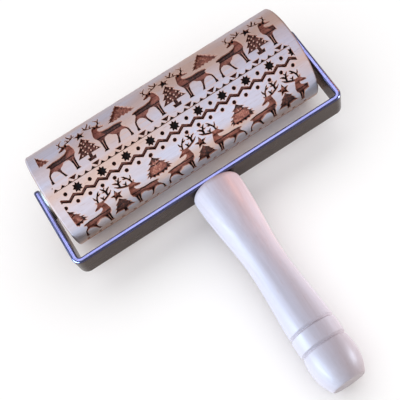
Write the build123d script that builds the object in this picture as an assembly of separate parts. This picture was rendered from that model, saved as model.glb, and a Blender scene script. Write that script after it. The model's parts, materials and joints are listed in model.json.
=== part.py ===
from build123d import *
from math import acos, atan2, cos, degrees, floor, hypot, pi, sin
import os

# Engraved pattern roller: a wooden roller in a bent flat-steel frame with a turned wooden handle.
# The tool is drawn in its own working frame (origin on the roller's axis, X along that axis, the handle
# towards -Y, Z up), then laid down as it rests on a table: roller and handle both touch the surface.
# All sizes are in millimetres.

# ---------------------------------------------------------------- driving dimensions
ROLLER_RADIUS = 25.0
ROLLER_LENGTH = 140.0
ROLLER_RIM_ROUNDING = 1.0
ROLLER_BORE_RADIUS = 5.5

STRAP_WIDTH = 15.0
STRAP_THICKNESS = 3.0
STRAP_BEND_INNER_RADIUS = 1.5
STRAP_TIP_CORNER = 2.5
STRAP_EDGE_ROUNDING = 1.1
END_GAP = 2.5  # roller end to arm, each side
CROSSBAR_REACH = 39.0  # roller axis to the crossbar's outer face
ARM_TIP_REACH = 7.0  # roller axis to the arms' free ends

ENGRAVING_DEPTH = 1.2
ENGRAVED_HALF_LENGTH = 65.0  # plain margins are left at both ends
SANDED_HALF_LENGTH = 65.5  # once engraved, the roller is sanded again between these stations
SANDING_LOSS = 0.05
PATTERN_TURNS = 2  # the whole pattern fits this many times round the roller

AXLE_RADIUS = 4.0
RUNNING_CLEARANCE = 0.05
AXLE_TAP_DEPTH = 15.0
BUSH_RADIUS = 7.0
BUSH_LENGTH = 14.0
BUSH_FLANGE_RADIUS = 9.8
BUSH_FLANGE_THICKNESS = 2.0
BUSH_FLANGE_STANDOUT = 1.0  # how far the flange stands out of the roller's end
FLANGE_RECESS_RADIUS = 10.0
THRUST_WASHER_RADIUS = 8.0
THRUST_WASHER_THICKNESS = 1.0

SCREW_RADIUS = 2.5  # all three screws are M5 with a countersunk head
SCREW_HEAD_RADIUS = 5.0
SCREW_HOLE_RADIUS = 2.6
SCREW_SINK = 0.1  # head top below the strap's face
SCREW_DRIVE_WIDTH = 3.0  # hexagon drive, across flats
SCREW_DRIVE_DEPTH = 1.8
AXLE_SCREW_LENGTH = 14.0
HANDLE_SCREW_LENGTH = 25.0

INSERT_RADIUS = 5.0
INSERT_LENGTH = 16.0
INSERT_SINK = 0.5
INSERT_BORE_DEPTH = 23.0
INSERT_GROOVES_AT = (5.0, 9.0, 13.0)  # from its outer end
INSERT_GROOVE_WIDTH = 1.0
INSERT_GROOVE_DEPTH = 0.5

HANDLE_LENGTH = 112.0
HANDLE_RIM_ROUNDING = 3.5
HANDLE_TOP_RADIUS = 12.6
HANDLE_WAIST_RADIUS = 9.5
HANDLE_WAIST_AT = 45.5  # from the crossbar's outer face, like the places below
HANDLE_BAND_RADIUS = 11.4
HANDLE_NECK_END_RADIUS = 11.25
GROOVE_AT = (83.5, 92.8)
GROOVE_HALF_WIDTH = 0.9
GROOVE_DEPTH = 1.1
BARREL_START_RADIUS = 11.2
BARREL_RADIUS = 11.75
BARREL_WIDEST_AT = 98.0
BUTT_RADIUS = 7.9
BUTT_EDGE_ROUNDING = 0.6
NECK_END_SLOPE = 0.035  # radius gained for each millimetre along the handle
BARREL_START_SLOPE = 0.2
BARREL_END_SLOPE = -0.62

EDGE_CHAMFER = 0.4  # axle ends and bush flanges
OVERRUN = 1.0  # how far a cutter runs past what it cuts

# Where the engraved rows lie: millimetres of arc from the roller's top line towards the handle.
DEER_ROW_FOOT = 5.4
LOWER_DEER_ROW_FOOT = 40.6
HIGH_FIR_FOOT = -6.0
LOW_FIR_FOOT = 30.0
BORDER_LINE_AT = 9.0
STAR_ROW_AT = 12.2
ZIGZAG_AT = 15.25
DOT_ROW_AT = 18.0
SECOND_BAND_MIRROR = 62.15  # the second band is the first one mirrored: arc -> this minus arc

# How the motifs repeat along the roller: (place of one of them, pitch).
TREE_COLUMN = (5.5, 47.0)
HIGH_FIR_COLUMN = (27.5, 47.0)
LOW_FIR_COLUMN = (28.7, 47.0)
STAR_COLUMN = (-1.3, 13.3)
TRIANGLE_COLUMN = (-3.0, 12.7)
DEER_FROM_TREE = 14.1
DEER_REACH = 23.0  # from the tree's middle to the deer's farthest point
FIR_REACH = 7.4
BORDER_LINE_HALF_WIDTH = 0.13
ZIGZAG_SWING = 0.95
ZIGZAG_HALF_STROKE = 0.85
DOT_RADIUS = 1.0
STAR_OUTER_RADIUS = 2.65
STAR_INNER_RADIUS = 1.7
TREE_STAR_OUTER_RADIUS = 3.2
TREE_STAR_INNER_RADIUS = 1.35
TREE_STAR_HEIGHT = 15.9

# A motif is drawn flat: x along the roller, y up from the motif's foot.
DEER = [
    (-6.6, 9.2), (-2.8, 10.3), (3.6, 10.7), (5.2, 12.6), (1.8, 12.9), (4.3, 15.8), (6.6, 15.9),
    (8.3, 12.2), (8.5, 8.9), (7.2, 6.4), (7.3, 0.0), (5.1, 0.0), (4.2, 6.3), (2.2, 6.9),
    (-1.3, 4.6), (0.0, 0.0), (-1.2, 0.0), (-3.2, 4.6), (-6.8, 4.2), (-6.8, 0.0), (-8.2, 0.0),
    (-7.9, 4.0), (-5.6, 7.6),
]
# Antler limbs: (x, y, half width) along each.
ANTLERS = [
    [(4.6, 15.2, 0.6), (3.4, 17.2, 0.5), (5.2, 21.2, 0.2)],
    [(5.8, 15.4, 0.6), (10.0, 17.4, 0.5), (10.9, 21.1, 0.2)],
    [(9.6, 17.3, 0.45), (8.1, 22.0, 0.2)],
]
# Right halves, from the top down.
TREE_HALF = [
    (0, 13.4), (3.4, 9.7), (2.3, 9.4), (4.9, 6.3), (3.7, 6.1), (6.1, 3.35), (0.85, 3.35), (1.8, 0.0),
]
FIR_HALF = [
    (0, 11.6), (1.9, 8.9), (1.4, 8.6), (3.4, 6.7), (2.7, 6.3), (5.0, 4.5), (4.1, 4.1), (7.4, 0.8),
    (1.0, 0.0),
]
HANGING_TRIANGLE = [(-2.1, 2.1), (2.1, 2.1), (0, 0.1)]

# ---------------------------------------------------------------- worked-out sizes
INNER_HALF_WIDTH = ROLLER_LENGTH / 2 + END_GAP
OUTER_HALF_WIDTH = INNER_HALF_WIDTH + STRAP_THICKNESS
CROSSBAR_INNER = CROSSBAR_REACH - STRAP_THICKNESS
STRAP_BEND_OUTER_RADIUS = STRAP_BEND_INNER_RADIUS + STRAP_THICKNESS
ENGRAVING_FLOOR_RADIUS = ROLLER_RADIUS - ENGRAVING_DEPTH

# Where the screws go in: local +Z points out of the steel.
RIGHT_ARM_FACE = Pos(OUTER_HALF_WIDTH, 0, 0) * Rot(0, 90, 0)
CROSSBAR_FACE = Pos(0, -CROSSBAR_INNER, 0) * Rot(-90, 0, 0)


def disc(radius, x_from, x_to):
    """A plain cylinder along X between two stations."""
    return Pos((x_from + x_to) / 2, 0, 0) * Rot(0, 90, 0) * Cylinder(radius, abs(x_to - x_from))


def rod(radius, y_from, y_to):
    """A plain cylinder along Y between two stations."""
    return Pos(0, (y_from + y_to) / 2, 0) * Rot(90, 0, 0) * Cylinder(radius, abs(y_to - y_from))


def mirrored(solid):
    """The same piece for the other end of the roller."""
    return mirror(solid, about=Plane.YZ)


# ---------------------------------------------------------------- screws
def countersink(radius):
    """The 90-degree cone under a flat head: its wide end at the origin, tapering towards -Z."""
    height = radius - SCREW_RADIUS
    return Pos(0, 0, -height / 2) * Cone(SCREW_RADIUS, radius, height)


def countersunk_screw(length):
    """A screw with the top of its head at the origin and its shank along -Z."""
    shank = Pos(0, 0, -length / 2) * Cylinder(SCREW_RADIUS, length)
    hexagon = RegularPolygon(SCREW_DRIVE_WIDTH / 2, 6, major_radius=False)
    drive = Pos(0, 0, -SCREW_DRIVE_DEPTH) * extrude(hexagon, SCREW_DRIVE_DEPTH + OVERRUN)
    return countersink(SCREW_HEAD_RADIUS) + shank - drive


def screw_seat():
    """What a screw needs cut out of the strap: its cone and its clearance hole."""
    hole = Cylinder(SCREW_HOLE_RADIUS, 2 * (STRAP_THICKNESS + OVERRUN))
    return countersink(SCREW_HEAD_RADIUS + SCREW_SINK) + hole


def axle_screw():
    return RIGHT_ARM_FACE * Pos(0, 0, -SCREW_SINK) * countersunk_screw(AXLE_SCREW_LENGTH)


def handle_screw():
    return CROSSBAR_FACE * Pos(0, 0, -SCREW_SINK) * countersunk_screw(HANDLE_SCREW_LENGTH)


# ---------------------------------------------------------------- frame
def strap_outline(half_width, reach, bend_radius):
    """One side of the bent bar: up one arm, across and down the other."""
    return FilletPolyline(
        (-half_width, ARM_TIP_REACH),
        (-half_width, -reach),
        (half_width, -reach),
        (half_width, ARM_TIP_REACH),
        radius=bend_radius,
    )


def is_long_rim(edge):
    """True for the edges along the bar's two narrow sides, short of its rounded tips."""
    on_side = abs(abs(edge.center().Z) - STRAP_WIDTH / 2) < 1e-6
    return on_side and edge.length > 1 and edge.center().Y < ARM_TIP_REACH - STRAP_TIP_CORNER


def frame_strap():
    outer = strap_outline(OUTER_HALF_WIDTH, CROSSBAR_REACH, STRAP_BEND_OUTER_RADIUS)
    inner = strap_outline(INNER_HALF_WIDTH, CROSSBAR_INNER, STRAP_BEND_INNER_RADIUS)
    tips = [Line(outer @ end, inner @ end) for end in (0, 1)]
    bar = extrude(make_face([outer, inner] + tips), STRAP_WIDTH / 2, both=True)
    bar = fillet(bar.edges().filter_by(Axis.X).group_by(Axis.Y)[-1], STRAP_TIP_CORNER)
    bar = fillet([edge for edge in bar.edges() if is_long_rim(edge)], STRAP_EDGE_ROUNDING)
    right_seat = RIGHT_ARM_FACE * screw_seat()
    return bar - right_seat - mirrored(right_seat) - CROSSBAR_FACE * screw_seat()


# ---------------------------------------------------------------- axle
def axle_rod():
    shaft = disc(AXLE_RADIUS, -INNER_HALF_WIDTH, INNER_HALF_WIDTH)
    shaft = chamfer(shaft.edges(), EDGE_CHAMFER)
    tap = disc(SCREW_RADIUS, INNER_HALF_WIDTH - AXLE_TAP_DEPTH, INNER_HALF_WIDTH + OVERRUN)
    return shaft - tap - mirrored(tap)


def thrust_washer():
    inner_face = INNER_HALF_WIDTH - THRUST_WASHER_THICKNESS
    ring = disc(THRUST_WASHER_RADIUS, inner_face, INNER_HALF_WIDTH)
    return ring - disc(AXLE_RADIUS, inner_face - OVERRUN, INNER_HALF_WIDTH + OVERRUN)


# ---------------------------------------------------------------- roller
def bush():
    """A flanged plain bearing, pressed into the right end of the roller."""
    flange_face = ROLLER_LENGTH / 2 + BUSH_FLANGE_STANDOUT
    flange_back = flange_face - BUSH_FLANGE_THICKNESS
    inner_end = flange_back - BUSH_LENGTH
    flange = disc(BUSH_FLANGE_RADIUS, flange_back, flange_face)
    flange = chamfer(flange.edges().sort_by(Axis.X)[-1], EDGE_CHAMFER)
    bore = disc(AXLE_RADIUS + RUNNING_CLEARANCE, inner_end - OVERRUN, flange_face + OVERRUN)
    return flange + disc(BUSH_RADIUS, inner_end, flange_back) - bore


def roller_end_pocket():
    """The stepped hole that holds the right bush."""
    end = ROLLER_LENGTH / 2
    recess_floor = end + BUSH_FLANGE_STANDOUT - BUSH_FLANGE_THICKNESS
    recess = disc(FLANGE_RECESS_RADIUS, recess_floor, end + OVERRUN)
    return recess + disc(BUSH_RADIUS, recess_floor - BUSH_LENGTH, end)


def sanded_off():
    """The thin sleeve that sanding takes off the engraved middle."""
    reach = SANDED_HALF_LENGTH
    sleeve = disc(ROLLER_RADIUS + OVERRUN, -reach, reach)
    return sleeve - disc(ROLLER_RADIUS - SANDING_LOSS, -ROLLER_LENGTH, ROLLER_LENGTH)


def roller_body():
    half = ROLLER_LENGTH / 2
    body = disc(ROLLER_RADIUS, -half, half)
    body = fillet(body.edges(), ROLLER_RIM_ROUNDING)
    pocket = roller_end_pocket()
    body = body - disc(ROLLER_BORE_RADIUS, -half, half) - pocket - mirrored(pocket) - sanded_off()
    return body - engraving()


# ---------------------------------------------------------------- engraved pattern
def both_sides(half):
    """A closed outline from its right half."""
    return half + [(-x, y) for x, y in reversed(half) if x]


def star(points, outer, inner, height=0.0):
    """A star outline about (0, height)."""
    corners = []
    for k in range(2 * points):
        radius = inner if k % 2 else outer
        turn = k * pi / points
        corners.append((-radius * sin(turn), height + radius * cos(turn)))
    return corners


def limb(stations):
    """A tapered outline round a centre line of (x, y, half width) stations."""
    left, right = [], []
    for k, (x, y, half_width) in enumerate(stations):
        x0, y0, _ = stations[max(k - 1, 0)]
        x1, y1, _ = stations[min(k + 1, len(stations) - 1)]
        side = half_width / hypot(x1 - x0, y1 - y0)
        left.append((x - side * (y1 - y0), y + side * (x1 - x0)))
        right.append((x + side * (y1 - y0), y - side * (x1 - x0)))
    return left + right[::-1]


def on_roller(outline, foot, across=0.0):
    """Outline points as (x, arc) on the unrolled surface."""
    return [(across + x, foot - y) for x, y in outline]


def tangent_plane(arc):
    """The plane that touches the roller at this arc; its +Y points away from the handle."""
    turn = arc / ROLLER_RADIUS
    out = (0, -sin(turn), cos(turn))
    touch = (0, ROLLER_RADIUS * out[1], ROLLER_RADIUS * out[2])
    return Plane(origin=touch, x_dir=(1, 0, 0), z_dir=out)


def engraving_core():
    """What no cutter reaches: the wood under the engraving's floor."""
    return disc(ENGRAVING_FLOOR_RADIUS, -ROLLER_LENGTH, ROLLER_LENGTH)


def pocket_cutter(outlines):
    """The solid that cuts these joined outlines down to the engraving's floor."""
    arcs = [arc for outline in outlines for _, arc in outline]
    middle = (min(arcs) + max(arcs)) / 2
    reach = (max(arcs) - min(arcs)) / 2
    flat = Sketch()
    for outline in outlines:
        points = [(x, ROLLER_RADIUS * sin((middle - arc) / ROLLER_RADIUS)) for x, arc in outline]
        flat += make_face(Polyline(*points, close=True))
    fall = ROLLER_RADIUS * (1 - cos(reach / ROLLER_RADIUS))
    depth = fall + ENGRAVING_DEPTH + 2 * OVERRUN
    return extrude(tangent_plane(middle) * Pos(0, 0, OVERRUN) * flat, -depth) - engraving_core()


def dot_cutter(arc):
    """The solid that cuts a round pocket."""
    return tangent_plane(arc) * Cylinder(DOT_RADIUS, 3 * ENGRAVING_DEPTH) - engraving_core()


def column(cutter, place, pitch, reach):
    """Copies of a cutter along the roller, cut off at the ends of the engraved length."""
    limit = ENGRAVED_HALF_LENGTH
    zone = disc(ROLLER_RADIUS + 2 * OVERRUN, -limit, limit)
    first = -floor((limit + reach + place) / pitch)
    last = floor((limit + reach - place) / pitch)
    copies = []
    for k in range(first, last + 1):
        across = place + k * pitch
        copy = Pos(across, 0, 0) * cutter
        copies += (copy & zone if abs(across) + reach > limit else copy).solids()
    return copies


def deer_and_tree(foot):
    """Two deer back to back with the tree and its star between them, as cutters about x = 0."""
    strokes = [DEER] + [limb(antler) for antler in ANTLERS]
    left_deer = pocket_cutter([on_roller(stroke, foot, -DEER_FROM_TREE) for stroke in strokes])
    top_star = star(5, TREE_STAR_OUTER_RADIUS, TREE_STAR_INNER_RADIUS, TREE_STAR_HEIGHT)
    tree = pocket_cutter([on_roller(both_sides(TREE_HALF), foot)])
    return [left_deer, mirrored(left_deer), tree, pocket_cutter([on_roller(top_star, foot)])]


def zigzag():
    """The outline of one unbroken zigzag stroke, its lows beside the stars."""
    place, pitch = STAR_COLUMN
    step = pitch / 4
    turns = floor(ENGRAVED_HALF_LENGTH / step) + 2
    upper, lower = [], []
    for k in range(-turns, turns + 1):
        middle = ZIGZAG_AT + (-ZIGZAG_SWING if k % 2 else ZIGZAG_SWING)
        upper.append((place + k * step, middle - ZIGZAG_HALF_STROKE))
        lower.append((place + k * step, middle + ZIGZAG_HALF_STROKE))
    return upper + lower[::-1]


def border_line():
    """The outline of the thin straight line at a band's edge."""
    end = ENGRAVED_HALF_LENGTH + OVERRUN
    top = BORDER_LINE_AT - BORDER_LINE_HALF_WIDTH
    bottom = BORDER_LINE_AT + BORDER_LINE_HALF_WIDTH
    return [(-end, top), (end, top), (end, bottom), (-end, bottom)]


def band(is_second):
    """Border line, triangles, stars, zigzag and dots between two rows of deer."""
    def laid(outline):
        return [(x, SECOND_BAND_MIRROR - arc if is_second else arc) for x, arc in outline]

    def dots(arc, place, pitch):
        return column(dot_cutter(laid([(0, arc)])[0][1]), place, pitch, DOT_RADIUS)

    triangle = pocket_cutter([laid(on_roller(HANGING_TRIANGLE, BORDER_LINE_AT))])
    corners = star(8, STAR_OUTER_RADIUS, STAR_INNER_RADIUS)
    star_place, star_pitch = STAR_COLUMN
    whole_length = (0, 4 * ROLLER_LENGTH, ROLLER_LENGTH)
    cutters = column(pocket_cutter([laid(border_line())]), *whole_length)
    cutters += column(pocket_cutter([laid(zigzag())]), *whole_length)
    cutters += column(triangle, *TRIANGLE_COLUMN, HANGING_TRIANGLE[1][0])
    cutters += column(pocket_cutter([laid(on_roller(corners, STAR_ROW_AT))]), *STAR_COLUMN, STAR_OUTER_RADIUS)
    cutters += dots(STAR_ROW_AT, star_place + star_pitch / 2, star_pitch)
    cutters += dots(DOT_ROW_AT, star_place + star_pitch / 4, star_pitch / 2)
    return cutters


def engraving():
    """Every pocket cutter, all the way round."""
    once = band(False) + band(True)
    for foot in (DEER_ROW_FOOT, LOWER_DEER_ROW_FOOT):
        for cutter in deer_and_tree(foot):
            once += column(cutter, *TREE_COLUMN, DEER_REACH)
    for foot, fir_column in ((HIGH_FIR_FOOT, HIGH_FIR_COLUMN), (LOW_FIR_FOOT, LOW_FIR_COLUMN)):
        once += column(pocket_cutter([on_roller(both_sides(FIR_HALF), foot)]), *fir_column, FIR_REACH)
    turns = [k * 360 / PATTERN_TURNS for k in range(PATTERN_TURNS)]
    return [Rot(turn, 0, 0) * cutter for turn in turns for cutter in once]


# ---------------------------------------------------------------- handle
def handle_barrel():
    """The swollen end of the handle's profile, from the second groove to the butt."""
    return Spline(
        (BARREL_START_RADIUS, GROOVE_AT[1] + GROOVE_HALF_WIDTH),
        (BARREL_RADIUS, BARREL_WIDEST_AT),
        (BUTT_RADIUS + BUTT_EDGE_ROUNDING, HANDLE_LENGTH - BUTT_EDGE_ROUNDING),
        tangents=((BARREL_START_SLOPE, 1), (BARREL_END_SLOPE, 1)),
    )


def handle_outline():
    """Half profile of the turned handle: (radius, distance from the crossbar) from rim to butt."""
    shoulder = HANDLE_TOP_RADIUS - HANDLE_RIM_ROUNDING
    first, second = GROOVE_AT
    groove_radius = HANDLE_BAND_RADIUS - GROOVE_DEPTH
    band_top = (HANDLE_BAND_RADIUS, first + GROOVE_HALF_WIDTH)
    band_bottom = (HANDLE_BAND_RADIUS, second - GROOVE_HALF_WIDTH)
    neck = Spline(
        (HANDLE_TOP_RADIUS, HANDLE_RIM_ROUNDING),
        (HANDLE_WAIST_RADIUS, HANDLE_WAIST_AT),
        (HANDLE_NECK_END_RADIUS, first - GROOVE_HALF_WIDTH),
        tangents=((0, 1), (NECK_END_SLOPE, 1)),
    )
    barrel = handle_barrel()
    return [
        Line((0, 0), (shoulder, 0)),
        CenterArc((shoulder, HANDLE_RIM_ROUNDING), HANDLE_RIM_ROUNDING, -90, 90),
        neck,
        Polyline(neck @ 1, (groove_radius, first), band_top),
        Polyline(band_top, band_bottom, (groove_radius, second), barrel @ 0),
        barrel,
        Polyline(barrel @ 1, (BUTT_RADIUS, HANDLE_LENGTH), (0, HANDLE_LENGTH), (0, 0)),
    ]


def handle():
    turned = revolve(make_face(handle_outline()), Axis.Y)
    turned = Pos(0, -CROSSBAR_REACH, 0) * mirror(turned, about=Plane.XZ)
    return turned - rod(INSERT_RADIUS, -CROSSBAR_REACH - INSERT_BORE_DEPTH, -CROSSBAR_REACH + OVERRUN)


def handle_insert():
    """The threaded sleeve in the handle, with grooves that grip the wood."""
    start = -CROSSBAR_REACH - INSERT_SINK
    end = start - INSERT_LENGTH
    body = rod(INSERT_RADIUS, end, start)
    for place in INSERT_GROOVES_AT:
        groove = start - place
        ring = rod(INSERT_RADIUS + OVERRUN, groove - INSERT_GROOVE_WIDTH, groove)
        body -= ring - rod(INSERT_RADIUS - INSERT_GROOVE_DEPTH, end, start)
    return body - rod(SCREW_RADIUS, end - OVERRUN, start + OVERRUN)


# ---------------------------------------------------------------- laid on the table
def resting_tilt():
    """Turn about the roller's axis, in degrees, that brings the handle down to the surface."""
    barrel = handle_barrel()
    samples = 200
    turns = []
    for step in range(samples + 1):
        point = barrel @ (step / samples)
        reach = CROSSBAR_REACH + point.Y
        turns.append(atan2(reach, point.X) - acos(ROLLER_RADIUS / hypot(reach, point.X)))
    return degrees(min(turns))


right_screw = axle_screw()
right_washer = thrust_washer()
right_bush = bush()
NODES = {
    "frame_strap": frame_strap(),
    "axle_rod": axle_rod(),
    "left_axle_screw": mirrored(right_screw),
    "right_axle_screw": right_screw,
    "left_thrust_washer": mirrored(right_washer),
    "right_thrust_washer": right_washer,
    "roller_body": roller_body(),
    "left_bush": mirrored(right_bush),
    "right_bush": right_bush,
    "handle": handle(),
    "handle_insert": handle_insert(),
    "handle_screw": handle_screw(),
}

TILT = resting_tilt()
tilted = {name: Rot(TILT, 0, 0) * solid for name, solid in NODES.items()}
box = Compound(list(tilted.values())).bounding_box()
AXIS_Y = -(box.min.Y + box.max.Y) / 2
AXIS_Z = -box.min.Z
print(f"tilt {TILT:.4f} deg, roller axis at y {AXIS_Y:.4f}, z {AXIS_Z:.4f}")

os.makedirs("parts", exist_ok=True)
for name, solid in tilted.items():
    export_step(Pos(0, AXIS_Y, AXIS_Z) * solid, f"parts/{name}.step", write_pcurves=False)
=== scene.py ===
import json
import random
from math import asin, atan2, cos, floor, hypot, pi, radians, sin

import bmesh
import bpy
import numpy as np
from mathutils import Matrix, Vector
from mathutils.geometry import delaunay_2d_cdt


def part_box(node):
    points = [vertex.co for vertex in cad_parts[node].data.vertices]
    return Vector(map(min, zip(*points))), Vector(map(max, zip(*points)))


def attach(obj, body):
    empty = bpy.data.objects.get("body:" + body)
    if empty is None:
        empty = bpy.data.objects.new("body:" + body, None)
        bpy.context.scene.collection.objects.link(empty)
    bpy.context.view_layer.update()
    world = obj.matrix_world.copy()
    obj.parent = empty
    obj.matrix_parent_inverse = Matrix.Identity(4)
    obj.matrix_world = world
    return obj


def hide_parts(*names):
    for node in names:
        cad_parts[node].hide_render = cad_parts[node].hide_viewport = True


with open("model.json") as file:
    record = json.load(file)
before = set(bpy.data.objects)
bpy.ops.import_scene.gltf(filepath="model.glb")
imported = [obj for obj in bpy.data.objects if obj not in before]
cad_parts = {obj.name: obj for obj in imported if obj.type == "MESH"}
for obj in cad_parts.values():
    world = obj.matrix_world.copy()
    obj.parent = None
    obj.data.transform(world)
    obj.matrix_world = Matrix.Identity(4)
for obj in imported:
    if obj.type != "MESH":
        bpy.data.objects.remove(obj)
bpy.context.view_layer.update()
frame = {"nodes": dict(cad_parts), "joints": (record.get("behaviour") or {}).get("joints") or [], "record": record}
record = frame["record"]

# An engraved pattern roller: a pale beech roller with a knitted-jumper pattern of deer, firs and
# stars burnt into it, turning in a steel yoke on a turned beech handle. The frame is in metres;
# outlines and other small sizes are in millimetres and go through MM.
MM = 0.001
SEED = 7

# ---------------------------------------------------------------- places taken from the frame
spin = frame["joints"][0]
AXIS = Vector(spin["pos_m"])
ROLLER_RADIUS = AXIS.z / MM  # the roller stands on the floor
ROLLER_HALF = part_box("roller_body")[1].x / MM
BUTT = next(mount for mount in record["mounts"] if mount["name"] == "handle_butt")
HANDLE_AXIS = Vector(BUTT["axis"]).normalized()
TILT = asin(-HANDLE_AXIS.z)  # the whole tool leans by this when it lies on its roller and handle
BUSH_REACH = ROLLER_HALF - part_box("right_bush")[0].x / MM
HALF_TURN = pi * ROLLER_RADIUS

# ---------------------------------------------------------------- sizes of the looks
LENS = 77.4
LENS_SHIFT = -0.055
CAMERA_AT = (-0.0313, -0.1724, 0.3830)
CAMERA_TURN = (25.577, 11.142, -31.19)  # degrees about x, y and z
FLOOR_HALF = 12.0

RIM_ROUNDING = 1.0
RIM_STEPS = 6
END_RINGS = (21.5, 19.0, 16.0, 13.0)  # radii of the end face's inner loops
RECESS_CHAMFER = 0.25
RECESS_RADIUS = 10.0
RECESS_DEPTH = 1.0
BUSH_RADIUS = 7.0
BORE_RADIUS = 5.5
PATTERN_HALF = 65.1

SURFACE, FLOOR, DEEP = range(3)
LEVEL_DEPTHS = (0.0, 1.2, 1.5)
GRID_STEP = 0.9
SEAM = -20.3  # arc where one half turn of the pattern meets the next, in plain wood
WALL_LEAN = 0.12
MOST_LEAN = 0.4  # of the way to the middle of the faces around a corner
WELD = 2e-7  # metres between corners of the two half turns that are made one

# Where the rows lie: millimetres of arc from the roller's top line towards the handle.
DEER_ROW_FOOT = 5.4
LOWER_DEER_ROW_FOOT = 40.6
HIGH_FIR_FOOT = -6.0
LOW_FIR_FOOT = 30.0
BORDER_LINE_AT = 9.0
STAR_ROW_AT = 12.2
ZIGZAG_AT = 15.25
DOT_ROW_AT = 18.0
SECOND_BAND_MIRROR = 62.15

# How the motifs repeat along the roller: (place of one of them, pitch).
TREE_COLUMN = (5.5, 47.0)
HIGH_FIR_COLUMN = (27.5, 47.0)
LOW_FIR_COLUMN = (28.7, 47.0)
STAR_COLUMN = (-1.3, 13.3)
TRIANGLE_COLUMN = (-3.0, 12.7)
DEER_FROM_TREE = 14.0
LOWER_DEER_FROM_TREE = 14.3
ZIGZAG_SWING = 0.95
ZIGZAG_HALF_STROKE = 0.85
DOT_RADIUS = 1.0

# How dark the burning is, from 0 for clean wood to 1 for charred.
CLEAN = 0.0
PALE = 0.3
ROSY = 0.45
BROWN = 0.6
UMBER = 0.75
CHARRED = 1.0
NEAR_BLACK = CHARRED - 0.1
FLOOR_EDGE_BURN_AND_SHADE = 0.15  # added where a pocket's floor meets its wall: partly a darker burn, partly painted shade in that corner
SCORCH = 0.16  # on the surface round a pocket's mouth


# ---------------------------------------------------------------- motifs, drawn flat
# x runs along the roller and y up from the motif's foot, in millimetres.
def both_sides(half):
    """A closed outline from its right half, listed from the top down."""
    return half + [(-x, y) for x, y in reversed(half) if x]


def star(points, outer, inner, height=0.0):
    """A star outline about (0, height)."""
    corners = []
    for k in range(2 * points):
        radius = inner if k % 2 else outer
        corners.append((-radius * sin(k * pi / points), height + radius * cos(k * pi / points)))
    return corners


def ring(radius, x=0.0, y=0.0, sides=14):
    """A round outline."""
    turns = [2 * pi * k / sides for k in range(sides)]
    return [(x + radius * cos(turn), y + radius * sin(turn)) for turn in turns]


def box_outline(x0, y0, x1, y1):
    """A rectangle."""
    return [(x0, y0), (x1, y0), (x1, y1), (x0, y1)]


def limb(stations):
    """A tapered outline round a centre line of (x, y, half width) stations."""
    left, right = [], []
    for k, (x, y, half_width) in enumerate(stations):
        x0, y0, _ = stations[max(k - 1, 0)]
        x1, y1, _ = stations[min(k + 1, len(stations) - 1)]
        side = half_width / hypot(x1 - x0, y1 - y0)
        left.append((x - side * (y1 - y0), y + side * (x1 - x0)))
        right.append((x + side * (y1 - y0), y - side * (x1 - x0)))
    return left + right[::-1]


DEER = [
    (-6.9, 9.0), (-6.2, 9.6), (-5.0, 9.9), (-2.8, 10.3), (0.8, 10.2), (3.6, 10.7), (5.0, 11.6),
    (5.4, 12.6), (4.9, 13.2), (3.6, 12.9), (1.9, 12.8), (1.6, 13.4), (2.3, 13.9), (3.5, 14.7),
    (4.3, 15.8), (6.2, 16.0), (7.4, 15.2), (7.9, 14.0), (8.3, 12.2), (8.7, 10.4), (8.5, 8.9),
    (7.9, 7.7), (7.2, 6.4), (6.95, 3.2), (6.95, 1.1), (7.6, 0.1), (5.0, 0.0), (5.2, 1.0),
    (5.1, 3.2), (4.5, 5.8), (3.9, 6.6), (2.2, 6.9), (1.2, 6.6), (0.4, 5.7), (-0.6, 5.2),
    (-1.3, 4.6), (-1.2, 3.3), (-0.7, 1.7), (0.2, 0.1), (-1.0, 0.0), (-1.6, 1.5), (-2.2, 3.2),
    (-3.2, 4.6), (-4.6, 5.2), (-5.9, 4.9), (-6.8, 4.2), (-7.1, 2.9), (-7.2, 1.4), (-6.8, 0.0),
    (-8.2, -0.1), (-8.4, 0.7), (-8.0, 1.7), (-7.9, 3.2), (-7.5, 4.6), (-6.6, 5.9), (-5.7, 7.1),
    (-5.5, 8.2), (-6.4, 8.6),
]
DEER_BACK = [(-7.2, 8.3), (3.2, 8.3), (4.2, 11.4), (-7.2, 11.4)]
DEER_CHEST = [(3.6, 8.7), (9.0, 8.7), (9.0, 13.0), (4.8, 13.0)]
DEER_HEAD = box_outline(1.0, 12.6, 9.0, 16.2)
DEER_BELLY = box_outline(-6.5, 5.4, 3.4, 7.9)
FRONT_LEGS = box_outline(4.4, -0.2, 8.0, 5.6)
HIND_LEGS = box_outline(-9.0, -0.3, 1.0, 2.8)
BODY_LINE = [(-5.3, 8.5), (8.4, 8.55), (8.3, 8.05), (-5.4, 8.05)]
LEG_GAP = [(5.75, 6.0), (6.05, 6.0), (6.2, 1.1), (6.0, 1.1)]
# Antler limbs: (x, y, half width) along each.
ANTLERS = [
    [(4.6, 15.4, 0.55), (3.4, 16.8, 0.42), (3.3, 18.4, 0.38), (4.0, 19.8, 0.32), (5.2, 21.2, 0.12)],
    [(3.3, 18.2, 0.32), (2.7, 19.3, 0.26), (2.5, 20.5, 0.1)],
    [(3.5, 16.8, 0.3), (2.7, 16.5, 0.26), (2.3, 15.8, 0.1)],
    [(5.6, 15.6, 0.5), (6.6, 16.4, 0.42), (8.3, 16.7, 0.42), (9.8, 17.4, 0.42), (10.6, 19.2, 0.38),
     (10.9, 21.1, 0.12)],
    [(7.6, 16.7, 0.34), (7.9, 17.8, 0.34), (7.2, 18.8, 0.4), (6.5, 18.3, 0.15)],
    [(9.8, 17.6, 0.4), (8.9, 19.4, 0.42), (8.2, 20.8, 0.4), (8.0, 22.2, 0.12)],
    [(10.1, 17.7, 0.3), (11.0, 18.0, 0.26), (11.8, 18.7, 0.1)],
]
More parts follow.
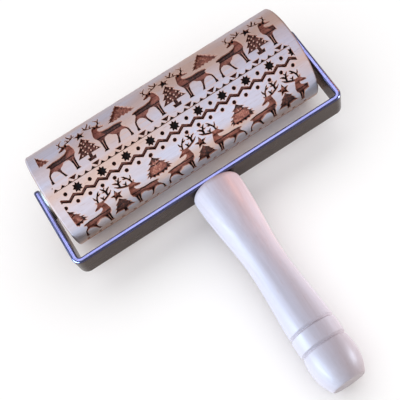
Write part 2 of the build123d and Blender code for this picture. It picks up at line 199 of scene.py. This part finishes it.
LOWER_ANTLERS = [
    [(5.0, 15.4, 0.5), (5.2, 17.2, 0.42), (5.9, 18.8, 0.42), (7.3, 20.6, 0.4), (8.1, 21.3, 0.12)],
    [(5.3, 17.6, 0.4), (4.5, 18.6, 0.4), (4.2, 19.9, 0.15)],
    [(6.3, 19.3, 0.4), (7.5, 19.6, 0.36), (8.3, 20.0, 0.12)],
    [(4.9, 15.8, 0.35), (4.3, 16.2, 0.32), (3.8, 16.9, 0.12)],
    [(6.6, 15.3, 0.5), (8.4, 15.8, 0.5), (10.3, 16.6, 0.55), (12.0, 17.4, 0.5), (13.4, 18.6, 0.15)],
    [(8.3, 15.9, 0.45), (7.9, 17.2, 0.5), (7.2, 18.1, 0.15)],
    [(8.2, 16.9, 0.4), (9.2, 17.8, 0.15)],
    [(10.9, 17.0, 0.55), (10.9, 18.9, 0.6), (10.1, 20.6, 0.5), (9.1, 21.7, 0.15)],
    [(10.9, 18.8, 0.55), (12.1, 19.9, 0.5), (13.4, 20.5, 0.15)],
    [(10.2, 20.3, 0.4), (11.3, 21.4, 0.15)],
    [(10.4, 19.4, 0.4), (9.0, 19.6, 0.15)],
]
TREE_TIERS = both_sides([
    (0, 13.6), (1.2, 12.0), (2.2, 10.9), (3.4, 9.8), (2.3, 9.4), (3.4, 7.8), (4.9, 6.4), (3.7, 6.1),
    (4.8, 4.7), (6.1, 3.35),
])
TREE_TRUNK = both_sides([(0.85, 3.4), (0.85, 1.6), (2.25, 1.7), (1.8, 0.0)])
SNOW = [
    (-0.9, 10.9), (1.3, 10.6), (-0.2, 9.7), (-1.9, 8.7), (0.0, 8.0), (2.8, 7.2), (-1.9, 6.9),
    (1.1, 6.3), (-1.3, 5.4), (3.5, 5.5), (-3.3, 4.3), (-0.8, 4.1), (1.4, 4.7), (4.2, 4.2),
]
LOWER_TREE = both_sides([
    (0, 12.4), (1.0, 11.0), (2.0, 10.2), (3.3, 9.2), (2.6, 9.0), (3.4, 7.6), (4.6, 6.6), (3.8, 6.3),
    (4.6, 5.0), (5.8, 3.4), (3.6, 3.6), (0.9, 3.2), (0.9, 0.4),
])
HIGH_FIR = both_sides([
    (0, 11.6), (0.7, 10.0), (1.9, 8.9), (1.5, 8.5), (2.0, 7.6), (3.4, 6.7), (2.8, 6.3), (3.3, 5.4),
    (5.0, 4.5), (4.3, 4.1), (4.7, 3.3), (6.6, 2.3), (5.7, 2.0), (7.4, 0.8), (5.6, 0.7), (5.0, 0.1),
    (4.0, 0.7), (3.0, 0.0), (2.1, 0.8), (1.0, 0.1), (0.3, 0.9),
])
LOW_FIR = both_sides([
    (0, 10.9), (0.9, 9.9), (1.6, 9.3), (3.4, 8.3), (2.3, 8.1), (2.7, 7.3), (5.2, 5.9), (3.9, 5.8),
    (4.5, 4.9), (6.4, 4.2), (5.1, 3.9), (7.1, 2.3), (5.4, 2.5), (6.0, 1.2), (4.4, 1.5), (3.4, 0.4),
    (2.4, 0.9), (1.3, 0.0), (0.5, 0.8),
])
FIR_BAND = [(-3.2, 7.0), (0.0, 6.3), (3.4, 7.2), (3.4, 6.5), (0.0, 5.6), (-3.2, 6.2)]
SMALL_TRIANGLE = [(-1.3, 0.1), (1.3, 0.1), (0, 1.35)]
HANGING_TRIANGLE = [(-2.1, 2.4), (2.1, 2.4), (0, 0.35)]


# ---------------------------------------------------------------- the pattern, laid out
# A shape is (outline, level, tone). Later shapes win; a level of None only tints what is already cut.
def deer_shapes(antlers):
    shapes = [(DEER, FLOOR, BROWN), (DEER_BACK, None, UMBER), (DEER_CHEST, None, ROSY)]
    shapes += [(DEER_HEAD, None, ROSY), (DEER_BELLY, None, ROSY), (FRONT_LEGS, None, CHARRED)]
    shapes += [(HIND_LEGS, None, UMBER + 0.1)]
    shapes += [(limb(antler), DEEP, CHARRED) for antler in antlers]
    return shapes + [(BODY_LINE, DEEP, CHARRED), (LEG_GAP, SURFACE, PALE)]


def tree_shapes():
    shapes = [(star(5, 3.2, 1.35, 15.9), DEEP, CHARRED), (star(5, 1.5, 0.7, 15.9), None, UMBER)]
    shapes += [(TREE_TIERS, FLOOR, BROWN), (TREE_TRUNK, FLOOR, UMBER)]
    return shapes + [(ring(0.37, x, y, 8), SURFACE, PALE / 2) for x, y in SNOW]


def lower_tree_shapes(luck):
    shapes = [(LOWER_TREE, FLOOR, UMBER), (star(5, 3.4, 1.5, 14.2), DEEP, CHARRED)]
    shapes += [(star(5, 1.9, 0.85, 14.2), FLOOR, ROSY)]
    return shapes + needles(luck, 4.4, 4.0, 11.0, 22, ROSY)


def needles(luck, half_width, bottom, top, count, tone):
    """Short upright ridges left standing in a fir."""
    shapes = []
    for _ in range(count):
        y = bottom + (top - bottom) * luck.random() ** 1.4
        spread = half_width * (1 - (y - bottom) / (top - bottom + 1.5))
        x = luck.uniform(-spread, spread)
        reach = luck.uniform(0.35, 0.8)
        lean = 0.25 * x * reach
        needle = limb([(x, y - reach, 0.06), (x + lean, y, 0.15), (x + lean, y + reach, 0.05)])
        shapes.append((needle, None, tone))
    return shapes


def high_fir_shapes(luck):
    shapes = [(HIGH_FIR, FLOOR, ROSY + 0.08), (box_outline(-8, -0.5, 8, 1.2), None, UMBER)]
    return shapes + needles(luck, 4.6, 1.6, 10.0, 26, CLEAN + 0.12)


def low_fir_shapes(luck):
    shapes = [(LOW_FIR, FLOOR, ROSY + 0.05), (box_outline(-8, -0.5, 8, 1.3), None, NEAR_BLACK)]
    shapes.append((box_outline(-8, 1.3, -4.4, 9), None, NEAR_BLACK))
    shapes.append((box_outline(4.4, 1.3, 8, 9), None, UMBER))
    shapes += [(box_outline(-2.6, 7.2, 2.6, 11.5), None, UMBER), (FIR_BAND, DEEP, CHARRED)]
    shapes += [(ring(0.9, 0, 11.8), FLOOR, UMBER)]
    return shapes + needles(luck, 4.2, 1.4, 8.0, 24, CLEAN + 0.15)


def zigzag_shapes():
    """One unbroken zigzag stroke, deeper along its lower edge."""
    place, pitch = STAR_COLUMN
    turns = floor(4 * PATTERN_HALF / pitch) + 2
    edges = {"top": -ZIGZAG_HALF_STROKE, "step": 0.25, "bottom": ZIGZAG_HALF_STROKE}
    lines = {name: [] for name in edges}
    for k in range(-turns, turns + 1):
        swing = ZIGZAG_SWING if k % 2 == 0 else -ZIGZAG_SWING
        for name, offset in edges.items():
            lines[name].append((place + k * pitch / 4, ZIGZAG_AT + swing + offset))
    upper = lines["top"] + lines["step"][::-1]
    lower = lines["step"] + lines["bottom"][::-1]
    return [(upper, FLOOR, BROWN - 0.05), (lower, DEEP, UMBER + 0.08)]


def on_roller(shapes, foot, across=0.0, facing=1):
    """The same shapes as (x, arc) on the unrolled surface; arc grows downwards."""
    placed = []
    for line, level, tone in shapes:
        placed.append(([(across + facing * x, foot - y) for x, y in line], level, tone))
    return placed


def repeats(place_and_pitch, half_width):
    """Places along the roller where a motif shows at all."""
    place, pitch = place_and_pitch
    reach = PATTERN_HALF + half_width
    first = -floor((reach + place) / pitch)
    last = floor((reach - place) / pitch)
    return [place + k * pitch for k in range(first, last + 1)]


def band_shapes():
    """Border line, triangles, stars, zigzag and dots between two rows of deer."""
    shapes = []
    for x in repeats(TRIANGLE_COLUMN, 13):
        shapes += on_roller([(HANGING_TRIANGLE, FLOOR, BROWN + 0.05)], BORDER_LINE_AT, x)
        for step in (0.2, 0.5, 0.8):
            across = x + step * TRIANGLE_COLUMN[1]
            shapes += on_roller([(SMALL_TRIANGLE, DEEP, NEAR_BLACK)], BORDER_LINE_AT, across)
    edge = PATTERN_HALF + 1
    line = box_outline(-edge, BORDER_LINE_AT - 0.08, edge, BORDER_LINE_AT + 0.2)
    shapes.append((line, FLOOR, NEAR_BLACK))
    place, pitch = STAR_COLUMN
    for x in repeats(STAR_COLUMN, 3):
        shapes += on_roller([(star(8, 2.65, 1.7), DEEP, CHARRED)], STAR_ROW_AT, x)
    for x in repeats((place + pitch / 2, pitch), 1):
        shapes.append((ring(DOT_RADIUS, x, STAR_ROW_AT), FLOOR, UMBER + 0.1))
    for x in repeats((place + pitch / 4, pitch / 2), 1):
        shapes.append((ring(DOT_RADIUS, x, DOT_ROW_AT), FLOOR, UMBER))
    return shapes + zigzag_shapes()


def pattern():
    """Every shape of one half turn, in the order in which they are cut."""
    luck = random.Random(SEED)
    shapes = []
    for x in repeats(TREE_COLUMN, 24):
        for facing in (1, -1):
            across = x - facing * DEER_FROM_TREE
            shapes += on_roller(deer_shapes(ANTLERS), DEER_ROW_FOOT, across, facing)
            across = x - facing * LOWER_DEER_FROM_TREE
            shapes += on_roller(deer_shapes(LOWER_ANTLERS), LOWER_DEER_ROW_FOOT, across, facing)
        shapes += on_roller(tree_shapes(), DEER_ROW_FOOT, x)
        shapes += on_roller(lower_tree_shapes(luck), LOWER_DEER_ROW_FOOT, x)
    for x in repeats(HIGH_FIR_COLUMN, 8):
        shapes += on_roller(high_fir_shapes(luck), HIGH_FIR_FOOT, x)
    for x in repeats(LOW_FIR_COLUMN, 8):
        shapes += on_roller(low_fir_shapes(luck), LOW_FIR_FOOT, x)
    band = band_shapes()
    shapes += band
    for line, level, tone in band:
        shapes.append(([(x, SECOND_BAND_MIRROR - arc) for x, arc in line], level, tone))
    kept = []
    for line, level, tone in shapes:
        line = clip(clip(line, PATTERN_HALF, 1), PATTERN_HALF, -1)
        if len(line) > 2:
            kept.append((counterclockwise(line), level, tone))
    return kept


def counterclockwise(outline):
    """The outline listed so that its inside is on the left."""
    turned = zip(outline, outline[1:] + outline[:1])
    return outline if sum(x0 * y1 - x1 * y0 for (x0, y0), (x1, y1) in turned) > 0 else outline[::-1]


def clip(outline, limit, side):
    """The outline cut off where side * x passes the limit."""
    kept = []
    for (x0, y0), (x1, y1) in zip(outline, outline[1:] + outline[:1]):
        inside0, inside1 = side * x0 <= limit, side * x1 <= limit
        if inside0:
            kept.append((x0, y0))
        if inside0 != inside1:
            share = (side * limit - x0) / (x1 - x0)
            kept.append((side * limit, y0 + share * (y1 - y0)))
    return kept


# ---------------------------------------------------------------- the engraved roller
def flat_mesh():
    """Triangles of one unrolled half turn, with each triangle's level and tone."""
    shapes = pattern()
    half = ROLLER_HALF - RIM_ROUNDING
    columns = round(2 * half / GRID_STEP)
    rows = round(HALF_TURN / GRID_STEP)
    points, edges, faces = [], [], []
    for row in range(rows + 1):
        for column in range(columns + 1):
            points.append((-half + 2 * half * column / columns, SEAM + HALF_TURN * row / rows))
        edges.append((row * (columns + 1), row * (columns + 1) + columns))
    for outline, _, _ in shapes:
        faces.append(list(range(len(points), len(points) + len(outline))))
        points += outline
    made = delaunay_2d_cdt([Vector(point) for point in points], edges, faces, 0, 1e-4, True)
    levels, tones = [], []
    for covers in made[5]:
        level, tone = SURFACE, CLEAN
        for k in sorted(covers):
            _, shape_level, shape_tone = shapes[k]
            if shape_level is not None:
                level, tone = shape_level, shape_tone
            elif level != SURFACE:
                tone = shape_tone
        levels.append(level)
        tones.append(tone)
    verts = np.array([tuple(vert) for vert in made[0]])
    return verts, np.array(made[2]), np.array(levels), np.array(tones)


def lean_of_walls(verts, triangles, levels):
    """For each level, how far each corner moves in and its share of faces that deep."""
    centres = verts[triangles].mean(axis=1)
    around = np.zeros(len(verts))
    np.add.at(around, triangles.ravel(), 1)
    leans, shares = [], []
    for level in range(len(LEVEL_DEPTHS)):
        deep = levels >= level
        total = np.zeros_like(verts)
        count = np.zeros(len(verts))
        for corner in range(3):
            np.add.at(total, triangles[deep, corner], centres[deep])
            np.add.at(count, triangles[deep, corner], 1)
        inward = total / np.maximum(count, 1)[:, None] - verts
        inward[(count == 0) | (count == around)] = 0
        length = np.linalg.norm(inward, axis=1, keepdims=True)
        leans.append(inward * np.minimum(MOST_LEAN, WALL_LEAN * level / np.maximum(length, 1e-6)))
        shares.append(count / around)
    return leans, shares


def carved_half_turn():
    """Corners as (x, arc, depth), how charred each is with painted shade added where a pocket's floor meets its
    wall, and all faces.
    """
    verts, triangles, levels, tones = flat_mesh()
    leans, shares = lean_of_walls(verts, triangles, levels)
    corners, points, sums = {}, [], []

    def corner_of(vert, level):
        if (vert, level) not in corners:
            corners[(vert, level)] = len(points)
            moved = verts[vert] + leans[level][vert]
            points.append((moved[0], moved[1], LEVEL_DEPTHS[level]))
            sums.append([0.0, 0])
        return corners[(vert, level)]

    faces, beside = [], {}
    for triangle, level, tone in zip(triangles.tolist(), levels.tolist(), tones.tolist()):
        faces.append([corner_of(vert, level) for vert in triangle])
        for corner in faces[-1]:
            sums[corner][0] += tone
            sums[corner][1] += 1
        for a, b in zip(triangle, triangle[1:] + triangle[:1]):
            beside[(a, b)] = level
    for (a, b), level in beside.items():
        for upper in range(beside.get((b, a), level), level):
            wall = ((a, upper), (b, upper), (b, upper + 1), (a, upper + 1))
            faces.append([corner_of(vert, deep) for vert, deep in wall])

    corner_char_and_shade = [0.0] * len(points)
    for (vert, level), corner in corners.items():
        total, count = sums[corner]
        tone = total / count if count else UMBER
        # On a pocket's rim: a scorch on the surface, and on the floor a darker tone that is partly burn, partly
        # painted shade in the corner.
        if 0 < shares[max(level, FLOOR)][vert] < 1:
            tone = max(tone, SCORCH) if level == SURFACE else min(CHARRED, tone + FLOOR_EDGE_BURN_AND_SHADE)
        corner_char_and_shade[corner] = tone
    return points, corner_char_and_shade, faces


def wrap(x, arc, depth):
    """A point of the unrolled surface, in place on the roller."""
    turn = arc / ROLLER_RADIUS + TILT
    radius = ROLLER_RADIUS - depth
    return AXIS + MM * Vector((x, -radius * sin(turn), radius * cos(turn)))


def end_profile():
    """(x, radius) from the rounded rim in over the end face, past the bush, to the bore."""
    loops = []
    for k in range(1, RIM_STEPS + 1):
        turn = k / RIM_STEPS * pi / 2
        x = ROLLER_HALF - RIM_ROUNDING * (1 - sin(turn))
        loops.append((x, ROLLER_RADIUS - RIM_ROUNDING * (1 - cos(turn))))
    loops += [(ROLLER_HALF, radius) for radius in (*END_RINGS, RECESS_RADIUS + RECESS_CHAMFER)]
    loops += [(ROLLER_HALF - RECESS_CHAMFER, RECESS_RADIUS)]
    loops += [(ROLLER_HALF - RECESS_DEPTH, RECESS_RADIUS)]
    loops += [(ROLLER_HALF - RECESS_DEPTH, BUSH_RADIUS), (ROLLER_HALF - BUSH_REACH, BUSH_RADIUS)]
    return loops + [(ROLLER_HALF - BUSH_REACH, BORE_RADIUS)]


def roller_mesh():
    """The roller as one closed mesh, with a char value at every corner that also holds painted shade in the
    pockets' corners.
    """
    points, corner_char_and_shade, faces = carved_half_turn()
    shape = bmesh.new()
    char_and_shade = shape.verts.layers.float.new("char_and_shade")
    edge_loops = {1: [], -1: []}
    for turn in (0, HALF_TURN):
        made = []
        for (x, arc, depth), value in zip(points, corner_char_and_shade):
            vert = shape.verts.new(wrap(x, arc + turn, depth))
            vert[char_and_shade] = value
            made.append(vert)
        for face in faces:
            shape.faces.new([made[k] for k in reversed(face)])
    bmesh.ops.remove_doubles(shape, verts=shape.verts, dist=WELD)
    rim = (ROLLER_HALF - RIM_ROUNDING) * MM
    for vert in shape.verts:
        if abs(abs(vert.co.x) - rim) < WELD / 2:
            edge_loops[1 if vert.co.x > 0 else -1].append(vert)
    inner = []
    for side, loop in edge_loops.items():
        loop.sort(key=lambda vert: atan2(vert.co.z - AXIS.z, vert.co.y - AXIS.y))
        rays = [Vector((0, v.co.y - AXIS.y, v.co.z - AXIS.z)).normalized() for v in loop]
        for x, radius in end_profile():
            middle = AXIS + Vector((side * x * MM, 0, 0))
            ring_verts = [shape.verts.new(middle + ray * radius * MM) for ray in rays]
            bridge(shape, loop, ring_verts, side)
            loop = ring_verts
        inner.append(loop)
    bridge(shape, inner[0], inner[1], 1)
    mesh = bpy.data.meshes.new("engraved_roller")
    shape.to_mesh(mesh)
    shape.free()
    return mesh


def bridge(shape, first, second, side):
    """Faces between two loops of as many corners."""
    for k in range(len(first)):
        after = (k + 1) % len(first)
        corners = [first[k], first[after], second[after], second[k]]
        shape.faces.new(corners if side < 0 else corners[::-1])


def add_piece(mesh, name, material, body, slot, *nodes):
    """A finished piece: its object, material, body and the CAD nodes it stands for."""
    piece = bpy.data.objects.new(name, mesh)
    bpy.context.scene.collection.objects.link(piece)
    mesh.materials.append(material)
    mesh.shade_smooth()
    mesh.set_sharp_from_angle(angle=radians(35))
    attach(piece, body)
    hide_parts(*nodes)
    return piece


# ---------------------------------------------------------------- materials
def srgb(red, green, blue):
    """A colour as the shaders want it, from everyday 0 to 255 values."""
    return tuple((value / 255 / 12.92) if value < 11 else ((value / 255 + 0.055) / 1.055) ** 2.4
                 for value in (red, green, blue)) + (1.0,)


PALE_BEECH = srgb(196, 184, 187)
GREY_BEECH = srgb(168, 152, 150)
WARM_BEECH = srgb(200, 156, 128)
END_GRAIN = srgb(186, 164, 146)
# The strap's two colours are painted reflection: dark brown on its sides for a dark surround, bluish on its
# up-facing edges for the light above.
STRAP_SIDE_PAINTED_DARK_REFLECTION = srgb(66, 50, 41)
STRAP_EDGE_PAINTED_BLUE_REFLECTION = srgb(124, 128, 168)
TOOL_UP = (0.0, -sin(TILT), cos(TILT))


class Finish:
    """A material whose nodes are added by short calls."""

    def __init__(self, name, **settings):
        self.material = bpy.data.materials.new(name)
        self.material.use_nodes = True
        self.nodes = self.material.node_tree.nodes
        self.links = self.material.node_tree.links
        self.shader = self.nodes["Principled BSDF"]
        self.set(self.shader, settings)

    def set(self, node, settings):
        for name, value in settings.items():
            socket = node.inputs[name.replace("_", " ")]
            if isinstance(value, bpy.types.NodeSocket):
                self.links.new(value, socket)
            else:
                socket.default_value = value

    def add(self, kind, output, **settings):
        """A node's output socket; settings are its inputs, values or sockets."""
        node = self.nodes.new("ShaderNode" + kind)
        self.set(node, settings)
        return node.outputs[output]

    def place(self, scale):
        """Object coordinates stretched by scale along x, y and z."""
        here = self.add("TexCoord", "Object")
        return self.add("Mapping", "Vector", Vector=here, Scale=scale, Rotation=(-TILT, 0, 0))

    def noise(self, scale, detail=3.0, roughness=0.5, distortion=0.0):
        """Noise whose grains are 1 / scale metres along x, y and z."""
        return self.add("TexNoise", "Fac", Vector=self.place(scale), Scale=1.0, Detail=detail,
                        Roughness=roughness, Distortion=distortion)

    def math(self, operation, first, second):
        node = self.nodes.new("ShaderNodeMath")
        node.operation = operation
        for socket, value in zip(node.inputs, (first, second)):
            if isinstance(value, bpy.types.NodeSocket):
                self.links.new(value, socket)
            else:
                socket.default_value = value
        return node.outputs[0]

    def ramp(self, factor, stops):
        """A colour ramp with (position, colour) stops."""
        node = self.nodes.new("ShaderNodeValToRGB")
        self.links.new(factor, node.inputs[0])
        elements = node.color_ramp.elements
        while len(elements) < len(stops):
            elements.new(0.5)
        for element, (position, colour) in zip(elements, stops):
            element.position = position
            element.color = colour
        return node.outputs["Color"]

    def span(self, factor, low, high, to_low=0.0, to_high=1.0):
        """factor's stretch from low to high, brought to another range."""
        node = self.nodes.new("ShaderNodeMapRange")
        self.links.new(factor, node.inputs["Value"])
        limits = {"From Min": low, "From Max": high, "To Min": to_low, "To Max": to_high}
        for name, value in limits.items():
            node.inputs[name].default_value = value
        return node.outputs["Result"]

    def mix(self, blend, factor, first, second):
        node = self.nodes.new("ShaderNodeMix")
        node.data_type = "RGBA"
        node.blend_type = blend
        colour_sockets = (node.inputs[0], node.inputs[6], node.inputs[7])
        for socket, value in zip(colour_sockets, (factor, first, second)):
            if isinstance(value, bpy.types.NodeSocket):
                self.links.new(value, socket)
            else:
                socket.default_value = value
        return node.outputs[2]

    def bump(self, height, strength, distance, under=None):
        settings = {"Height": height, "Strength": strength, "Distance": distance}
        if under is not None:
            settings["Normal"] = under
        return self.add("Bump", "Normal", **settings)


def wood_colour(finish, along, across, grey_shares, warm_share, flecks):
    """Pale beech: growth streaks, broad warm patches and small dark flecks along the grain."""
    streaks = finish.noise(tuple(across if k != along else across / 28 for k in range(3)), 4, 0.6, 0.4)
    patches = finish.noise(tuple(60 if k != along else 16 for k in range(3)), 2)
    colour = finish.mix("MIX", finish.span(streaks, 0.3, 0.7, *grey_shares), PALE_BEECH, GREY_BEECH)
    colour = finish.mix("MIX", finish.span(patches, 0.42, 0.62, 0.0, warm_share), colour, WARM_BEECH)
    dashes = finish.noise(tuple(2600 if k != along else 240 for k in range(3)), 1)
    dark = finish.span(dashes, 0.64, 0.74, 0.0, flecks)
    return finish.mix("MIX", dark, colour, srgb(168, 124, 100)), streaks, dashes


def engraved_wood():
    finish = Finish("engraved_beech")
    pale, streaks, dashes = wood_colour(finish, 0, 420, (0.0, 0.5), 0.8, 0.4)
    node = finish.nodes.new("ShaderNodeAttribute")
    node.attribute_name = "char_and_shade"
    char_and_shade = node.outputs["Fac"]
    mottle = finish.noise((900, 900, 900), 4, 0.65)
    # The attribute read here also holds painted shade where pocket floors meet their walls.
    burnt_and_shaded = finish.math("MULTIPLY_ADD", finish.span(mottle, 0.3, 0.7, -0.28, 0.28), char_and_shade)
    finish.links.new(char_and_shade, burnt_and_shaded.node.inputs[2])
    tones = finish.ramp(burnt_and_shaded, [
        (0.0, srgb(224, 190, 170)), (0.18, srgb(196, 142, 114)), (0.38, srgb(160, 94, 74)),
        (0.58, srgb(112, 60, 45)), (0.78, srgb(64, 36, 27)), (0.97, srgb(17, 12, 10)),
    ])
    end_grain = finish.mix("MULTIPLY", 1.0, pale, END_GRAIN)
    plain = by_facing(finish, (1.0, 0.0, 0.0), pale, end_grain)
    colour = finish.mix("MIX", finish.span(char_and_shade, 0.02, 0.2), plain, tones)
    finish.set(finish.shader, {"Base Color": colour})
    burnt_rough = finish.span(char_and_shade, 0.0, 1.0, 0.46, 0.8)
    rough = finish.math("ADD", burnt_rough, finish.span(streaks, 0.3, 0.7, -0.05, 0.05))
    finish.set(finish.shader, {"Roughness": rough, "Specular IOR Level": 0.4})
    grain = finish.bump(streaks, 0.12, 0.0002)
    pores = finish.bump(dashes, 0.15, 0.0001, grain)
    finish.set(finish.shader, {"Normal": finish.bump(mottle, 0.35, 0.00025, pores)})
    return finish.material


def handle_wood():
    finish = Finish("turned_beech")
    pale, streaks, dashes = wood_colour(finish, 1, 460, (0.65, 0.95), 0.1, 0.2)
    finish.set(finish.shader, {"Base Color": pale, "Specular IOR Level": 0.45})
    finish.set(finish.shader, {"Roughness": finish.span(streaks, 0.3, 0.7, 0.36, 0.48)})
    grain = finish.bump(streaks, 0.1, 0.0002)
    finish.set(finish.shader, {"Normal": finish.bump(dashes, 0.1, 0.0001, grain)})
    return finish.material


def by_facing(finish, axis, across, along):
    """One colour where a face looks across the axis, another where it looks along it."""
    facing = finish.add("NewGeometry", "Normal")
    leaning = finish.nodes.new("ShaderNodeVectorMath")
    leaning.operation = "DOT_PRODUCT"
    leaning.inputs[1].default_value = axis
    finish.links.new(facing, leaning.inputs[0])
    share = finish.math("ABSOLUTE", leaning.outputs["Value"], 0.0)
    return finish.mix("MIX", finish.span(share, 0.25, 0.8), across, along)


def brushed_steel(name, colour, grain, roughness, edge=None):
    """Bright steel with fine lines; grain gives how many per metre along x, y and z."""
    finish = Finish(name, Metallic=1.0)
    # With an edge colour, faces that look up the tool take it and the sides keep colour: painted reflection of the
    # light above on the edges and of a dark surround on the sides.
    if edge is not None:
        colour = by_facing(finish, TOOL_UP, colour, edge)
    lines = finish.noise(grain, 3, 0.6)
    smudges = finish.noise((70, 70, 70), 3)
    tint = finish.mix("MULTIPLY", finish.span(lines, 0.2, 0.8, 0.0, 0.35), colour, srgb(190, 180, 172))
    finish.set(finish.shader, {"Base Color": tint})
    rough = finish.math("ADD", finish.span(lines, 0.25, 0.75, roughness - 0.05, roughness + 0.07),
                        finish.span(smudges, 0.35, 0.7, -0.04, 0.06))
    finish.set(finish.shader, {"Roughness": rough, "Normal": finish.bump(lines, 0.08, 0.00008)})
    return finish.material


def nylon(name, colour):
    finish = Finish(name, Subsurface_Weight=0.1)
    grain = finish.noise((1500, 1500, 1500), 2)
    tint = finish.mix("MIX", finish.span(grain, 0.3, 0.7, 0.0, 0.3), colour, srgb(214, 208, 196))
    finish.set(finish.shader, {"Base Color": tint, "Roughness": finish.span(grain, 0.3, 0.7, 0.4, 0.52)})
    finish.set(finish.shader, {"Normal": finish.bump(grain, 0.1, 0.0001)})
    return finish.material


def brass():
    finish = Finish("insert_brass", Metallic=1.0)
    grain = finish.noise((900, 900, 900), 3)
    tint = finish.mix("MIX", finish.span(grain, 0.3, 0.7), srgb(205, 168, 96), srgb(176, 138, 74))
    finish.set(finish.shader, {"Base Color": tint, "Roughness": finish.span(grain, 0.3, 0.7, 0.28, 0.42)})
    finish.set(finish.shader, {"Normal": finish.bump(grain, 0.1, 0.0001)})
    return finish.material


def assign(material, name):
    """A CAD node that keeps its shape gets a better finish."""
    slots = frame["nodes"][name].data.materials
    slots.clear()
    slots.append(material)


# ---------------------------------------------------------------- light, floor and camera
def only_for(name, piece, state):
    """What a light falls on: the one piece alone (INCLUDE), or all but it (EXCLUDE)."""
    receivers = bpy.data.collections.new(name)
    receivers.objects.link(piece)
    receivers.collection_objects[0].light_linking.link_state = state
    return receivers


def add_light(name, kind, place, target, power, colour, receivers):
    """A light, given as bpy names it, that shows only in what it falls on."""
    data = bpy.data.lights.new(name, kind)
    data.energy = power
    data.color = colour
    light = bpy.data.objects.new(name, data)
    light.location = place
    light.visible_camera = False
    light.rotation_euler = (Vector(target) - Vector(place)).to_track_quat("-Z", "Y").to_euler()
    light.light_linking.receiver_collection = receivers
    bpy.context.scene.collection.objects.link(light)
    return data


def add_spot(name, cone, softness, *light):
    data = add_light(name, "SPOT", *light)
    data.spot_size = radians(cone)
    data.spot_blend = 1.0
    data.shadow_soft_size = softness


def add_panel(name, size, *light):
    data = add_light(name, "AREA", *light)
    data.shape = "RECTANGLE"
    data.size, data.size_y = size


def studio():
    """A pale floor in even light; on the tool a cool window at the left and weak lights at the right."""
    mesh = bpy.data.meshes.new("floor")
    corners = [(-1, -1), (1, -1), (1, 1), (-1, 1)]
    mesh.from_pydata([(x * FLOOR_HALF, y * FLOOR_HALF, 0) for x, y in corners], [], [(0, 1, 2, 3)])
    floor_piece = bpy.data.objects.new("floor", mesh)
    bpy.context.scene.collection.objects.link(floor_piece)
    paint = Finish("floor_paper", Base_Color=(0.95, 0.95, 0.95, 1), Roughness=0.9)
    mesh.materials.append(paint.material)
    middle = (0.0, 0.0, 0.02)
    tool = only_for("all_but_floor", floor_piece, "EXCLUDE")
    floor = only_for("floor_only", floor_piece, "INCLUDE")
    wash = add_light("floor_wash", "SUN", (0.0, 0.0, 1.0), (0.0, 0.0, 0.0), 2.6, (1.0, 1.0, 1.0), floor)
    wash.angle = radians(120)
    add_panel("window", (0.5, 0.3), (-0.56, -0.10, 0.20), middle, 9.8, (0.55, 0.76, 1.0), tool)
    add_panel("sky", (0.5, 0.3), (0.05, 0.27, 0.62), middle, 1.7, (0.78, 0.78, 0.96), tool)
    waist = (0.02, -0.02, 0.01)
    add_spot("right_fill", 46, 0.04, (0.25, -0.12, 0.06), waist, 5.6, (0.74, 0.84, 1.0), tool)
    neck = (0.0, 0.01, 0.015)
    add_spot("warm_lamp", 24, 0.02, (0.16, 0.06, 0.11), neck, 0.5, (1.0, 0.25, 0.03), tool)
    world = bpy.data.worlds.new("studio")
    bpy.context.scene.world = world
    world.use_nodes = True
    world.node_tree.nodes["Background"].inputs["Color"].default_value = (0.97, 0.93, 0.94, 1)
    world.node_tree.nodes["Background"].inputs["Strength"].default_value = 0.27
    bpy.context.scene.view_settings.view_transform = "Standard"


def add_camera():
    data = bpy.data.cameras.new("camera")
    data.lens = LENS
    data.shift_x = LENS_SHIFT
    data.clip_start = 0.01
    camera = bpy.data.objects.new("camera", data)
    camera.location = CAMERA_AT
    camera.rotation_euler = [radians(turn) for turn in CAMERA_TURN]
    bpy.context.scene.collection.objects.link(camera)
    bpy.context.scene.camera = camera


# ---------------------------------------------------------------- the scene
add_camera()
studio()
add_piece(roller_mesh(), "engraved_roller", engraved_wood(), "roller", "engraved_wood", "roller_body")
finishes = {
    "handle_wood": handle_wood(),
    "strap_steel": brushed_steel("strap_steel", STRAP_SIDE_PAINTED_DARK_REFLECTION, (30, 1400, 1400), 0.24, STRAP_EDGE_PAINTED_BLUE_REFLECTION),
    "axle_steel": brushed_steel("axle_steel", srgb(196, 190, 186), (400, 400, 400), 0.25),
    "fastener_steel": brushed_steel("fastener_steel", srgb(206, 204, 202), (500, 500, 500), 0.22),
    "bush_nylon": nylon("bush_nylon", srgb(236, 234, 226)),
    "washer_nylon": nylon("washer_nylon", srgb(226, 222, 212)),
    "insert_brass": brass(),
}
for subpart in record["subparts"]:
    if subpart["node"] != "roller_body":
        assign(finishes[subpart["material_slot"]], subpart["node"])
